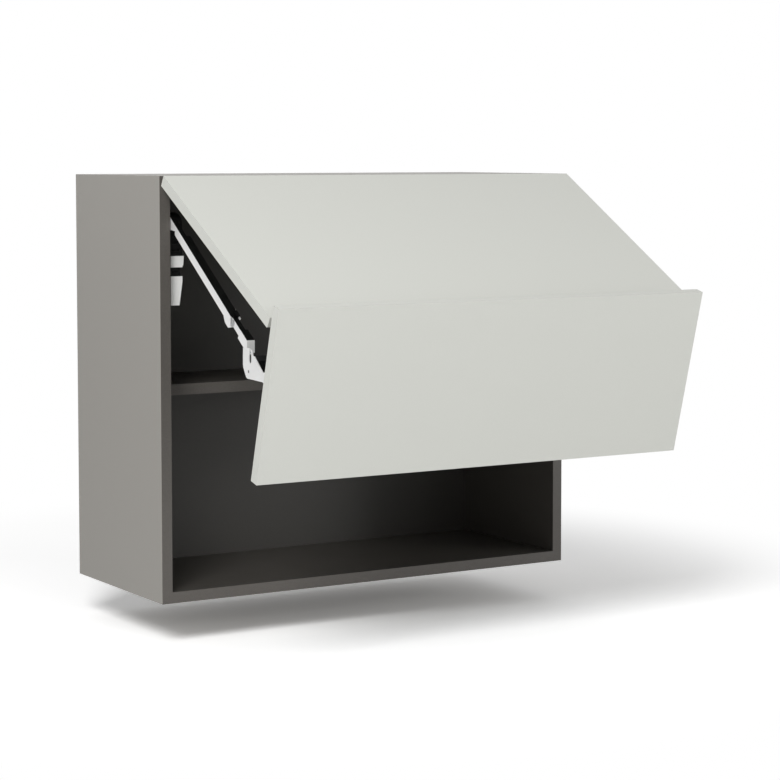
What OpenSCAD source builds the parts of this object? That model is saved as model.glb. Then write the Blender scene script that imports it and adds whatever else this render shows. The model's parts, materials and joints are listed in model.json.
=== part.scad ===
// Lift up wall cabinet: a carcass whose two-panel front folds and lifts on two
// side mechanisms. Shown half open. Origin: wall plane, mid width, underside.
// +X to the right, -Y out of the wall to the front, +Z up.

/* [Carcass] */
// Width over the side panels
cab_w = 820; // [620:10:1000]
// Depth of the carcass without its front
cab_d = 344; // [330:2:380]
// Height of the carcass
cab_h = 720; // [710:2:740]
// Thickness of the carcass boards
board = 19; // [16:1:22]
// Thickness of the back panel
back_t = 8; // [5:1:10]
// Room between back panel and wall, for the hangers
back_inset = 34; // [28:1:40]
// Depth of the groove that holds the back panel
groove_d = 8; // [5:1:10]
// Thickness of the shelf
shelf_t = 19; // [16:1:22]
// Height of the shelf's upper face
shelf_top = 360; // [300:5:400]
// Distance of the shelf's front edge behind the carcass front
shelf_setback = 100; // [90:5:140]

/* [Front] */
// Thickness of both front panels
front_t = 19; // [18:0.5:20]
// Gap between the carcass and the closed front
front_gap = 2; // [1.5:0.1:2.5]
// Gap at each side edge of the front panels
side_reveal = 1.2; // [0.5:0.1:3]
// Height of the upper front panel
upper_h = 427; // [415:1:440]
// Gap between the two panels when closed
fold_gap = 4; // [3.5:0.1:5]
// Gap below the closed front, up to the carcass underside
bottom_reveal = 0; // [0:0.5:3]
// Radius of the panels' long edges at the fold
fold_edge_r = 3; // [2.5:0.1:3.5]
// Angle by which the upper panel is open in the shown pose
rest_open = 60.07; // [50:0.01:62]
// Turn of the lower panel against the upper one for each degree of opening
fold_ratio = 1.2545; // [1.2:0.0001:1.28]

/* [Top hinges] */
// Distance of each hinge from the side panel
hinge_inset = 110; // [80:5:180]
// Hinge axis behind the front's outer face
lift_axis_in = 3.94; // [3.5:0.01:4.5]
// Hinge axis below the front's upper edge
lift_axis_down = 6.6; // [6:0.1:7.2]
// Diameter of the hinge cups
cup_d = 35; // [33:0.5:36]
// Depth of the hinge cups
cup_depth = 12.5; // [11.5:0.1:13]
// Cup centre below the front's upper edge
top_cup_down = 22.5; // [22:0.5:24]

/* [Middle hinges] */
// Arm-side pin behind the upper panel's outer face
link_in = 33.93; // [33:0.01:35]
// Arm-side pin above the upper panel's lower edge
link_up = 4.98; // [4.5:0.01:6]
// Cup-side pin behind the lower panel's outer face
cup_pin_in = 13.02; // [12.5:0.01:13.5]
// Cup-side pin below the lower panel's upper edge
cup_pin_down = 23.84; // [23:0.01:25]
// Share of the fold by which the links turn back
link_share = 0.43; // [0.4:0.01:0.46]
// Cup centre below the lower panel's upper edge
mid_cup_down = 33; // [32.5:0.1:33.5]
// Diameter of the hinge pins
hinge_pin_d = 3; // [2.5:0.1:3.5]

/* [Lift mechanism] */
// Lever pivot behind the carcass front
lever_axis_q = 131.8; // [125:0.1:138]
// Lever pivot below the carcass top
lever_axis_down = 89.8; // [85:0.1:95]
// Diameter of the lever pivot pin
lever_pin_d = 10; // [8:0.5:12]
// Front face of the mechanism behind the carcass front
mech_front = 20; // [18:1:24]
// Depth of the mechanism
mech_d = 170; // [160:2:190]
// Top of the mechanism below the carcass top
mech_down = 60; // [56:1:64]
// Height of the mechanism
mech_h = 158; // [150:2:164]
// Thickness of the mechanism over the side panel
mech_t = 35; // [33:0.5:38]
// Thickness of the steel base plate
base_t = 1.2; // [1:0.1:1.5]
// Wall of the white cover
cover_t = 2; // [1.5:0.1:2.5]

/* [Arms] */
// Slope of the shown arm
arm_slope = 33.9; // [33:0.1:35]
// Length of the straight arm, lever bend to bracket pin
arm_len = 350.7; // [340:0.1:360]
// Width of the outer arm
outer_w = 18.5; // [17:0.5:19]
// Height of the outer arm
outer_h = 13; // [12:0.5:14]
// Wall of the outer arm
arm_wall = 1.5; // [1.2:0.1:1.8]
// Outer arm: start along the straight arm
outer_start = 72; // [66:1:90]
// Outer arm: end along the straight arm
outer_end = 258; // [240:1:270]
// Width of the inner arm
inner_w = 14; // [13:0.5:14.5]
// Thickness of the lever plate
lever_t = 8; // [7:0.2:8.2]
// Diameter of the bracket pin
arm_pin_d = 3.6; // [3:0.1:4]

/* [Arm brackets] */
// Bracket pin behind the lower panel's outer face
bracket_in = 105; // [100:0.5:108]
// Bracket pin below the lower panel's upper edge
bracket_down = 108; // [104:0.5:112]
// Sheet thickness of the bracket cheeks
cheek_t = 1.8; // [1.5:0.1:2]
// Length of the slots that the pin runs in
slot_len = 22; // [16:0.5:26]
// Width of these slots
slot_w = 6; // [5.6:0.1:7]

/* [Fasteners] */
// Diameter of wooden dowels
dowel_d = 8; // [6:1:10]
// Length of wooden dowels
dowel_len = 34; // [30:1:36]
// Diameter of shelf pins
shelf_pin_d = 5; // [4:0.5:6]
// Diameter of wood screw shanks
screw_d = 3.5; // [3:0.1:4]
// Diameter of wood screw heads
screw_head_d = 7; // [6:0.2:8]
// Length of the wood screws that hold the fittings
screw_len = 14; // [10:1:15]

/* [Hidden] */
$fn = 48;
seat_gap = 0.3;      // clearance between pieces of different bodies
fit_gap = 0.05;      // radial running clearance on pins
dowel_gap = 0.5;     // room at a dowel's ends
shelf_gap = 1;       // shelf clearance at its sides and back

inner_w_cab = cab_w - 2 * board;
half_in = inner_w_cab / 2;
back_y = -back_inset;                   // rear face of the back panel
face_q = -(front_gap + front_t);        // outer face of the closed front
lower_h = cab_h - upper_h - fold_gap - bottom_reveal;
front_w = cab_w - 2 * side_reveal;
lower_top = cab_h - upper_h - fold_gap; // upper edge of the closed lower panel
rest_fold = rest_open * fold_ratio;
hinge_xs = [-(half_in - hinge_inset), half_in - hinge_inset];
sides = [-1, 1];

// Points in the side view are [q, z]: q runs back from the carcass front plane.
function turn(v, a) = [v.x * cos(a) - v.y * sin(a), v.x * sin(a) + v.y * cos(a)];
function spun(p, c, a) = c + turn(p - c, a);
function unit(v) = v / norm(v);

lift_axis = [face_q + lift_axis_in, cab_h - lift_axis_down];
link_axis = [face_q + link_in, cab_h - upper_h + link_up];
cup_axis = [face_q + cup_pin_in, lower_top - cup_pin_down];
bracket_axis = [face_q + bracket_in, lower_top - bracket_down];
lever_axis = [lever_axis_q, cab_h - lever_axis_down];

function to_upper(p) = spun(p, lift_axis, -rest_open);
function to_links(p) = to_upper(spun(p, link_axis, -link_share * rest_fold));
function to_lower(p) = to_links(spun(p, cup_axis, (1 + link_share) * rest_fold));

arm_pin = to_lower(bracket_axis);
elbow = arm_pin + arm_len * [cos(arm_slope), sin(arm_slope)];

echo(lift_axis = lift_axis, link = to_upper(link_axis), cup = to_links(cup_axis));
echo(arm_pin = arm_pin, lever_axis = lever_axis, elbow = elbow, rest_fold = rest_fold);

// Places: everything below is drawn in [x, q, z] and set back by the carcass depth
module placed() { translate([0, -cab_d, 0]) children(); }

module spin(p, a) {
    translate([0, p.x, p.y]) rotate([a, 0, 0]) translate([0, -p.x, -p.y]) children();
}

module on_upper() { placed() spin(lift_axis, -rest_open) children(); }

module on_top_links() { placed() spin(lift_axis, -rest_open / 2) children(); }

module on_links() {
    placed() spin(lift_axis, -rest_open) spin(link_axis, -link_share * rest_fold) children();
}

module on_lower() {
    placed() spin(lift_axis, -rest_open) spin(link_axis, -link_share * rest_fold)
        spin(cup_axis, (1 + link_share) * rest_fold) children();
}

// Local u runs from a side panel's inner face towards the middle of the cabinet
module on_side(s) {
    mirror([s > 0 ? 1 : 0, 0, 0]) translate([-half_in, 0, 0]) children();
}

// Side-view outline, given thickness along X from x0
module slab(x0, t) { translate([x0, 0, 0]) rotate([90, 0, 90]) linear_extrude(t) children(); }

// Front-view outline [u, z], run back from q0
module slab_back(q0, len) {
    translate([0, q0 + len, 0]) rotate([90, 0, 0]) linear_extrude(len) children();
}

module rod_x(p, x0, len, r) { translate([x0, p.x, p.y]) rotate([0, 90, 0]) cylinder(h = len, r = r); }

module disc(p, r) { translate(p) circle(r = r); }

// Straight bar between two points of an outline
module bar(a, b, wa, wb) {
    n = turn(unit(b - a), 90);
    polygon([a + n * wa / 2, a - n * wa / 2, b - n * wb / 2, b + n * wb / 2]);
}

// Rectangle with four round corners, exact arcs
module rounded(x0, y0, w, h, r) {
    translate([x0 + r, y0]) square([w - 2 * r, h]);
    translate([x0, y0 + r]) square([w, h - 2 * r]);
    for (i = [0, 1], j = [0, 1])
        translate([x0 + r + i * (w - 2 * r), y0 + r + j * (h - 2 * r)]) circle(r = r);
}

// ---------------------------------------------------------------- carcass

dowel_rows = [0.12, 0.5, 0.82];
dowel_in_side = board - 8;
dowel_ys = [for (k = dowel_rows) -cab_d * (1 - k)];
dowel_zs = [board / 2, cab_h - board / 2];
pin_in_side = 9;
pin_out = 7;
pin_rows_q = [shelf_setback + 30, cab_d - back_inset - back_t - 45];
pin_pitch = 32;
pin_z = shelf_top - shelf_t - shelf_pin_d / 2;

module x_pair() { for (s = sides) mirror([s > 0 ? 1 : 0, 0, 0]) children(); }

module side_panel() {
    difference() {
        translate([-cab_w / 2, -cab_d, 0]) cube([board, cab_d, cab_h]);
        translate([-half_in - groove_d, back_y - back_t, board - groove_d])
            cube([groove_d + 1, back_t, cab_h - 2 * (board - groove_d)]);
        for (y = dowel_ys, z = dowel_zs)
            translate([-half_in - dowel_in_side, y, z]) rotate([0, 90, 0])
                cylinder(h = dowel_in_side + 1, d = dowel_d);
        for (q = pin_rows_q, k = [-1:1])
            translate([-half_in - pin_in_side - 1, q - cab_d, pin_z + k * pin_pitch]) rotate([0, 90, 0])
                cylinder(h = pin_in_side + 2, d = shelf_pin_d);
        for (p = base_screws) placed() translate([-half_in - screw_len, p.x, p.y]) rotate([0, 90, 0])
            cylinder(h = screw_len + 1, d = screw_d);
        for (z = hanger_screw_zs) translate([-half_in - screw_len, hanger_screw_y, z]) rotate([0, 90, 0])
            cylinder(h = screw_len + 1, d = screw_d);
    }
}

module side_left() { color([0.56, 0.54, 0.51]) side_panel(); }

module side_right() { color([0.56, 0.54, 0.51]) mirror([1, 0, 0]) side_panel(); }

module flat_panel(z0, groove_z) {
    difference() {
        translate([-half_in, -cab_d, z0]) cube([inner_w_cab, cab_d, board]);
        translate([-half_in - 1, back_y - back_t, groove_z]) cube([inner_w_cab + 2, back_t, groove_d + 1]);
        x_pair() for (y = dowel_ys)
            translate([-half_in - 1, y, z0 + board / 2]) rotate([0, 90, 0])
                cylinder(h = 1 + dowel_len - dowel_in_side + dowel_gap, d = dowel_d);
    }
}

module top_panel() {
    color([0.56, 0.54, 0.51]) difference() {
        flat_panel(cab_h - board, cab_h - board - 1);
        for (x = hinge_xs, q = plate_screw_qs)
            translate([x, q - cab_d, cab_h - board - 1]) cylinder(h = 1 + screw_len, d = screw_d);
    }
}

module bottom_panel() { color([0.56, 0.54, 0.51]) flat_panel(0, board - groove_d); }

access_d = 12;

module back_panel() {
    w = inner_w_cab + 2 * groove_d - 1;
    h = cab_h - 2 * (board - groove_d) - 1;
    color([0.50, 0.48, 0.45]) difference() {
        translate([-w / 2, back_y - back_t, board - groove_d + 0.5]) cube([w, back_t, h]);
        x_pair() translate([-half_in + hanger_w / 2, back_y - back_t - 1, hanger_z + hanger_h / 2])
            rotate([-90, 0, 0]) cylinder(h = back_t + 2, d = access_d);
    }
}

module shelf() {
    d = cab_d - shelf_setback - back_inset - back_t - shelf_gap;
    color([0.56, 0.54, 0.51])
        translate([-half_in + shelf_gap, -cab_d + shelf_setback, shelf_top - shelf_t])
            cube([inner_w_cab - 2 * shelf_gap, d, shelf_t]);
}

module shelf_pins() {
    color([0.75, 0.75, 0.75]) x_pair() for (q = pin_rows_q)
        translate([-half_in, q - cab_d, pin_z]) {
            translate([-pin_in_side, 0, 0]) rotate([0, 90, 0])
                cylinder(h = pin_in_side + pin_out, d = shelf_pin_d);
            rotate([0, 90, 0]) cylinder(h = 1, d = shelf_pin_d + 3);
        }
}

module dowels() {
    color([0.8, 0.65, 0.45]) x_pair() for (y = dowel_ys, z = dowel_zs)
        translate([-half_in - dowel_in_side + dowel_gap, y, z]) rotate([0, 90, 0])
            cylinder(h = dowel_len - dowel_gap, d = dowel_d - 2 * fit_gap);
}

// ---------------------------------------------------------------- hangers

hanger_w = 38;
hanger_h = 62;
hanger_d = back_inset - 10;
hanger_z = cab_h - board - 6 - hanger_h;
hanger_wall = 2.5;
hanger_screw_y = back_y + hanger_d / 2;
hanger_screw_zs = [hanger_z + 12, hanger_z + hanger_h - 12];
hook_t = 2.5;
hook_w = 16;
hook_z = hanger_z + hanger_h - 24;

module hanger(s) {
    color([0.85, 0.85, 0.83]) mirror([s > 0 ? 1 : 0, 0, 0]) difference() {
        translate([-half_in, back_y + seat_gap, hanger_z]) cube([hanger_w, hanger_d, hanger_h]);
        translate([-half_in + 6, back_y + seat_gap + hanger_wall, hanger_z - 1])
            cube([hanger_w - 6 - hanger_wall, hanger_d, hanger_h - hanger_wall]);
        for (z = hanger_screw_zs) translate([-half_in - 1, hanger_screw_y, z]) rotate([0, 90, 0])
            cylinder(h = 6 + 2, d = screw_d);
        translate([-half_in + hanger_w / 2, back_y - 1, hanger_z + hanger_h / 2])
            rotate([-90, 0, 0]) cylinder(h = 6, d = 6);
    }
}

module hanger_left() { hanger(-1); }

module hanger_right() { hanger(1); }

// Hook plates reach over the wall rail, with their lips turned down at the wall
module hanger_hooks() {
    x0 = -half_in + hanger_w / 2 - hook_w / 2;
    y0 = back_y + seat_gap + hanger_wall + 1;
    color([0.7, 0.71, 0.72]) x_pair() {
        translate([x0, y0, hanger_z + 8]) cube([hook_w, hook_t, hook_z - hanger_z - 8 + 4]);
        translate([x0, y0, hook_z]) cube([hook_w, -y0 - 2, 4]);
        translate([x0, -2 - hook_t, hook_z - 9]) cube([hook_w, hook_t, 10]);
        translate([x0 + hook_w / 2, back_y - 2, hanger_z + hanger_h / 2])
            rotate([-90, 0, 0]) cylinder(h = y0 - back_y + 3, d = 5.6);
    }
}

module hanger_screws() {
    color([0.75, 0.75, 0.76]) x_pair() for (z = hanger_screw_zs)
        translate([-half_in, hanger_screw_y, z]) rotate([0, 90, 0]) {
            translate([0, 0, -screw_len + 1]) cylinder(h = screw_len - 1 + 6, d = screw_d - 2 * fit_gap);
            translate([0, 0, 6]) cylinder(h = 2.2, d = screw_head_d);
        }
}

// ---------------------------------------------------------------- lift mechanism

mech_top = cab_h - mech_down;
mech_z = mech_top - mech_h;
lever_u = base_t + 0.5;
house_u = lever_u + lever_t + 0.8;
// Heights of the two white front plates and of the dark gap between them
plate1_top = mech_z + 83;
gap_top = mech_z + 64;
gap_bottom = mech_z + 49;
spacer_r = 6;
spacers = [for (p = [[152, 142], [152, 14], [86, 11], [140, 76]]) [mech_front + p.x, mech_z + p.y]];
base_screws = [for (p = [[14, 146], [160, 120], [160, 32], [60, 8]]) [mech_front + p.x, mech_z + p.y]];

// Side outline of the mechanism, drawn in by m
module mech_outline(m) {
    f = mech_front + m;
    b = mech_front + mech_d - m;
    lo = mech_z + m;
    hi = mech_top - m;
    difference() {
        union() {
            translate([f, lo]) square([mech_d * 0.55, hi - lo - 22]);
            translate([f + 22, lo]) square([b - f - 44, hi - lo]);
            translate([f, lo + 22]) square([b - f, hi - lo - 44]);
            for (c = [[f + 22, hi - 22], [b - 22, hi - 22], [b - 22, lo + 22]]) disc(c, 22);
        }
        translate([f + mech_d * 0.55, lo]) circle(r = 9);
    }
}

// Front outline [u, z]: fuller above, tapering towards the bottom, drawn in by m
module mech_front_outline(m) {
    u1 = mech_t - m;
    polygon([[house_u, mech_z - 1], [u1 - 9, mech_z - 1], [u1 - 3, gap_bottom - 9],
             [u1 - 3, gap_bottom], [u1 - 5.3, gap_bottom + 9], [u1 - 1.2, gap_top + 5],
             [u1, plate1_top], [u1, mech_top - 10], [u1 - 6, mech_top + 1], [house_u, mech_top + 1]]);
}

module mech_solid(m) {
    intersection() {
        slab(house_u, mech_t - house_u) mech_outline(m);
        slab_back(mech_front - 1, mech_d + 2) mech_front_outline(m);
    }
}

module lift_base(s) {
    color([0.72, 0.73, 0.74]) placed() on_side(s) difference() {
        slab(0, base_t) mech_outline(0);
        for (p = base_screws) rod_x(p, -1, base_t + 2, screw_d / 2 + fit_gap);
        rod_x(lever_axis, -1, base_t + 2, lever_pin_d / 2);
    }
}

// Posts that hold the housing off the base plate, clear of the lever's sweep
module lift_spacers() {
    color([0.72, 0.73, 0.74]) placed() for (s = sides) on_side(s)
        for (p = spacers) rod_x(p, base_t, house_u - base_t, spacer_r);
}

module lift_base_left() { lift_base(-1); }

module lift_base_right() { lift_base(1); }

force_screw_z = gap_bottom + 8;
force_screw_us = [house_u + 4.5, house_u + 12.5];

module lift_housing(s) {
    color([0.09, 0.09, 0.09]) placed() on_side(s) difference() {
        mech_solid(cover_t);
        rod_x(lever_axis, house_u - 1, 14, lever_pin_d / 2);
        for (u = force_screw_us) translate([u, mech_front, force_screw_z]) rotate([-90, 0, 0])
            cylinder(h = cover_t + 7, d = 6);
        // recesses in the dark upper front
        for (k = [0:3]) translate([house_u + 3, mech_front, plate1_top + 8 + 12 * k])
            cube([mech_t - cover_t - house_u - 8, cover_t + 3, 5]);
    }
}

module lift_housing_left() { lift_housing(-1); }

module lift_housing_right() { lift_housing(1); }

// White cover: a thin shell over the housing, open at the gap and above the upper plate
module lift_cover(s) {
    color([0.93, 0.93, 0.92]) placed() on_side(s) difference() {
        mech_solid(0);
        mech_solid(cover_t);
        slab(house_u - 1, mech_t - cover_t - house_u)
            translate([mech_front - 1, plate1_top]) square([mech_d + 2, mech_h]);
        translate([house_u - 1, mech_front - 1, gap_bottom])
            cube([mech_t, cover_t + 6, gap_top - gap_bottom]);
        slab(mech_t - cover_t - 1, cover_t + 2)
            translate([mech_front + mech_d * 0.45, mech_z + mech_h * 0.56]) circle(r = 9);
    }
}

module lift_cover_left() { lift_cover(-1); }

module lift_cover_right() { lift_cover(1); }

module lift_pivots() {
    color([0.78, 0.78, 0.79]) placed() for (s = sides) on_side(s)
        rod_x(lever_axis, 0.1, house_u + 10, lever_pin_d / 2);
}

module lift_screws() {
    color([0.75, 0.75, 0.76]) placed() for (s = sides) on_side(s) for (p = base_screws) {
        rod_x(p, -screw_len + 1, screw_len - 1 + base_t, screw_d / 2 - fit_gap);
        rod_x(p, base_t, 0.4, screw_head_d / 2);
    }
}

module force_screws() {
    color([0.6, 0.6, 0.61]) placed() for (s = sides) on_side(s) for (u = force_screw_us)
        translate([u, mech_front + cover_t + 1, force_screw_z]) rotate([-90, 0, 0]) difference() {
            cylinder(h = 6, d = 6 - 2 * fit_gap);
            translate([-2.4, -0.5, -1]) cube([4.8, 1, 2]);
            translate([-0.5, -2.4, -1]) cube([1, 4.8, 2]);
        }
}

// ---------------------------------------------------------------- top hinges

arm_half = 5;
cheek_x = arm_half + seat_gap;
link_t = 2;
plate_qs = [24, 66];
plate_t = 4.5;
plate_screw_qs = [plate_qs.x + 7, plate_qs.y - 7];
arm_top_z = cab_h - board - plate_t;
arm_h = 9;
nose_q = face_q + 15;

module top_hinge_plates() {
    color([0.75, 0.76, 0.77]) placed() for (x = hinge_xs) difference() {
        translate([x - 10, plate_qs.x, arm_top_z]) cube([20, plate_qs.y - plate_qs.x, plate_t]);
        for (q = plate_screw_qs) translate([x, q, arm_top_z - 1])
            cylinder(h = plate_t + 2, d = screw_d);
    }
}

module top_hinge_arms() {
    z0 = arm_top_z - arm_h;
    color([0.8, 0.81, 0.82]) placed() for (x = hinge_xs) difference() {
        slab(x - arm_half, 2 * arm_half) union() {
            translate([nose_q + 4, z0]) square([plate_qs.y + 6 - nose_q - 4, arm_h]);
            disc([nose_q + 4.5, z0 + 4.5], 4.5);
        }
        translate([x - arm_half + 1.5, plate_qs.x - 12, z0 - 1])
            cube([2 * arm_half - 3, plate_qs.y - plate_qs.x, arm_h - 0.5]);
        for (q = plate_screw_qs) translate([x, q, z0 - 1]) cylinder(h = arm_h + 2, d = screw_head_d + 1);
    }
}

module top_hinge_screws() {
    color([0.75, 0.75, 0.76]) placed() for (x = hinge_xs, q = plate_screw_qs) translate([x, q, arm_top_z]) {
        translate([0, 0, 0]) cylinder(h = plate_t + screw_len - 1, d = screw_d - 2 * fit_gap);
        translate([0, 0, -2.2]) cylinder(h = 2.2, d = screw_head_d);
    }
}

// Link cheeks swing about the hinge axis at half the front's rate and bridge arm and cup
link_r = norm([front_t - lift_axis_in, lift_axis_down]) + 0.8;

module top_hinge_links() {
    c = lift_axis;
    color([0.82, 0.83, 0.84]) on_top_links() for (x = hinge_xs) {
        for (k = [0, 1]) slab(x + (k > 0 ? cheek_x : -cheek_x - link_t), link_t) difference() {
            union() {
                polygon([c + [4.6, -17.2], c + [5.4, -23.2], c + [17, -26.8], c + [25, -24.4],
                         c + [26, -15.2], c + [18, -13.6], c + [14.4, -9.8]]);
                disc(c + [20, -20], 6.2);
            }
            disc(c, link_r);
        }
        rod_x(c + [8.2, -19.4], x - cheek_x, 2 * cheek_x, hinge_pin_d / 2);
    }
}

// ---------------------------------------------------------------- fronts

module cup_bore(x, z) {
    translate([x, -front_gap + 1, z]) rotate([90, 0, 0]) cylinder(h = cup_depth + 1, d = cup_d);
}

cup_wall = 1.3;

// A cup flush in the panel's inner face, with two lugs that carry the pin
module cup(x, z) {
    d = cup_d - 2 * fit_gap;
    translate([x, -front_gap, z]) rotate([90, 0, 0]) difference() {
        cylinder(h = cup_depth, d = d);
        translate([0, 0, -1]) cylinder(h = cup_depth, d = d - 2 * cup_wall);
    }
}

// Panel body; its fold edge is round, its other edges are square
module panel_profile(z0, h, round_low) {
    r = fold_edge_r;
    zr = round_low ? z0 : z0 + h - r;
    translate([face_q, round_low ? z0 + r : z0]) square([front_t, h - r]);
    translate([face_q, zr]) intersection() {
        square([front_t, r]);
        union() {
            translate([0, round_low ? 0 : 0]) square([front_t - r, r]);
            translate([front_t - r, round_low ? r : 0]) circle(r = r);
        }
    }
}

top_cup_z = cab_h - top_cup_down;
mid_cup_z = lower_top - mid_cup_down;
mid_plate_zs = [cab_h - upper_h + 22, cab_h - upper_h + 64];
mid_screw_zs = [mid_plate_zs.x + 7, mid_plate_zs.y - 7];

module upper_front() {
    color([0.81, 0.81, 0.785]) on_upper() difference() {
        slab(-front_w / 2, front_w) panel_profile(cab_h - upper_h, upper_h, true);
        for (x = hinge_xs) cup_bore(x, top_cup_z);
        for (x = hinge_xs, z = mid_screw_zs) translate([x, -front_gap + 1, z]) rotate([90, 0, 0])
            cylinder(h = screw_len + 1, d = screw_d);
    }
}

module lower_front() {
    color([0.83, 0.83, 0.805]) on_lower() difference() {
        slab(-front_w / 2, front_w) panel_profile(bottom_reveal, lower_h, false);
        for (x = hinge_xs) cup_bore(x, mid_cup_z);
        for (s = sides) on_side(s) for (p = foot_screws) translate([p.x, -front_gap + 1, p.y])
            rotate([90, 0, 0]) cylinder(h = screw_len + 1, d = screw_d);
    }
}

module top_hinge_cups() { color([0.78, 0.79, 0.8]) on_upper() for (x = hinge_xs) cup(x, top_cup_z); }

// ---------------------------------------------------------------- middle hinges

lug_t = 2;
boss_r = 3.9;

module mid_hinge_plates() {
    h = mid_plate_zs.y - mid_plate_zs.x;
    color([0.75, 0.76, 0.77]) on_upper() for (x = hinge_xs) difference() {
        translate([x - 12, -front_gap, mid_plate_zs.x]) cube([24, plate_t, h]);
        for (z = mid_screw_zs) translate([x, -front_gap - 1, z]) rotate([-90, 0, 0])
            cylinder(h = plate_t + 2, d = screw_d);
    }
}

// Two arm cheeks joined by a back, from the plate down to the link pin
module mid_hinge_arms() {
    q0 = -front_gap + plate_t;
    top = [q0, mid_plate_zs.y - 2];
    w = cheek_x + link_t;
    color([0.8, 0.81, 0.82]) on_upper() for (x = hinge_xs) {
        for (k = [0, 1]) slab(x + (k > 0 ? cheek_x : -w), link_t) difference() {
            union() {
                polygon([top, [q0, mid_plate_zs.x - 2], [q0 + 4, mid_plate_zs.x - 9],
                         [link_axis.x - 2, link_axis.y - boss_r + 0.6],
                         [link_axis.x + boss_r, link_axis.y], [q0 + 12, mid_plate_zs.y - 20],
                         [q0 + 9, mid_plate_zs.y - 2]]);
                disc(link_axis, boss_r);
            }
            disc(link_axis, hinge_pin_d / 2);
        }
        slab(x - cheek_x, 2 * cheek_x) polygon([[q0 + 9, mid_plate_zs.y - 2], [q0 + 12, mid_plate_zs.y - 20],
            [q0 + 10.5, mid_plate_zs.y - 20], [q0 + 7.5, mid_plate_zs.y - 2]]);
    }
}

module mid_plate_screws() {
    color([0.75, 0.75, 0.76]) on_upper() for (x = hinge_xs, z = mid_screw_zs)
        translate([x, -front_gap + plate_t, z]) rotate([90, 0, 0]) {
            cylinder(h = plate_t + screw_len - 1, d = screw_d - 2 * fit_gap);
            translate([0, 0, -2.2]) cylinder(h = 2.2, d = screw_head_d);
        }
}

// Cranked link between the two pins; it passes between both panels' edges when they fold
link_w = 4;
link_bends = [link_axis - [7.4, 1], cup_axis + [13.4, 6.6]];

module mid_hinge_links() {
    run = [link_axis, link_bends[0], link_bends[1], cup_axis];
    color([0.82, 0.83, 0.84]) on_links() for (x = hinge_xs)
        slab(x - arm_half, 2 * arm_half) difference() {
            union() {
                disc(run[0], boss_r);
                disc(run[3], boss_r);
                disc(run[1], link_w / 2);
                disc(run[2], link_w / 2);
                for (k = [0:2]) bar(run[k], run[k + 1], link_w, link_w);
            }
            disc(run[0], hinge_pin_d / 2 + fit_gap);
            disc(run[3], hinge_pin_d / 2);
        }
}

module mid_arm_pins() {
    color([0.7, 0.7, 0.71]) on_upper() for (x = hinge_xs)
        rod_x(link_axis, x - cheek_x - link_t, 2 * (cheek_x + link_t), hinge_pin_d / 2);
}

module mid_link_pins() {
    w = cheek_x + lug_t - 0.4;
    color([0.7, 0.7, 0.71]) on_links() for (x = hinge_xs) rod_x(cup_axis, x - w, 2 * w, hinge_pin_d / 2);
}

module mid_hinge_cups() {
    floor_q = -front_gap - cup_depth + cup_wall;
    color([0.78, 0.79, 0.8]) on_lower() for (x = hinge_xs) {
        cup(x, mid_cup_z);
        for (k = [0, 1]) slab(x + (k > 0 ? cheek_x : -cheek_x - lug_t), lug_t) difference() {
            union() {
                translate([floor_q - 0.5, cup_axis.y - boss_r]) square([cup_axis.x - floor_q + 0.5, 2 * boss_r]);
                disc(cup_axis, boss_r);
            }
            disc(cup_axis, hinge_pin_d / 2 + fit_gap);
        }
    }
}

// ---------------------------------------------------------------- arm brackets

bracket_u = 0.8;
bracket_w = inner_w + 2 * cheek_t + 1.4;
foot_t = 2.5;
cap_strip = 1.2;
foot_w = 46;
// Side outline of a cheek, each point given from the pin [towards the cabinet, down]
function cheek_pt(dq, down) = [bracket_axis.x + dq, bracket_axis.y - down];
foot_q = -front_gap;
foot_zs = [bracket_axis.y - 56, bracket_axis.y + 6];
foot_screws = [for (u = [bracket_u + bracket_w + 8, bracket_u + foot_w - 7], z = [foot_zs.x + 9, foot_zs.y - 9]) [u, z]];

module cheek_outline() {
    corner = cheek_pt(1.5, 30);
    difference() {
        union() {
            polygon([cheek_pt(-14, 1), cheek_pt(-20, 5), cheek_pt(-49.7, 14.8),
                     [foot_q, foot_zs.y - 12], [foot_q, foot_zs.x + 12],
                     cheek_pt(-51.4, 33), cheek_pt(-1.7, 43.7), cheek_pt(12, 36), cheek_pt(18.2, 28.7),
                     cheek_pt(27, -0.8), cheek_pt(12, -4), cheek_pt(-4, -4.5), cheek_pt(-9, -3)]);
            disc(corner, 14);
        }
        translate(bracket_axis) {
            translate([-slot_w / 2, -slot_len + slot_w / 2 + 5]) square([slot_w, slot_len - slot_w]);
            translate([0, 5 - slot_len + slot_w / 2]) circle(d = slot_w);
            translate([0, 5 - slot_w / 2]) circle(d = slot_w);
        }
        disc(cheek_pt(-1.4, 32.1), 2);
    }
}

module arm_bracket(s) {
    web_a = cheek_pt(-22, 7.2);
    web_b = cheek_pt(-49.7, 16.4);
    color([0.92, 0.92, 0.91]) on_lower() on_side(s) {
        for (k = [0, 1]) slab(bracket_u + k * (bracket_w - cheek_t), cheek_t) cheek_outline();
        difference() {
            translate([bracket_u, foot_q, foot_zs.x]) cube([foot_w, foot_t, foot_zs.y - foot_zs.x]);
            for (p = foot_screws) translate([p.x, foot_q - 1, p.y]) rotate([-90, 0, 0])
                cylinder(h = foot_t + 2, d = screw_d);
        }
        slab(bracket_u, bracket_w) bar(web_a, web_b, 2, 2);
        slab(bracket_u, bracket_w) bar(web_b, [foot_q + foot_t, foot_zs.y - 14], 2, 2);
    }
}

module arm_bracket_left() { arm_bracket(-1); }

module arm_bracket_right() { arm_bracket(1); }

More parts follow.
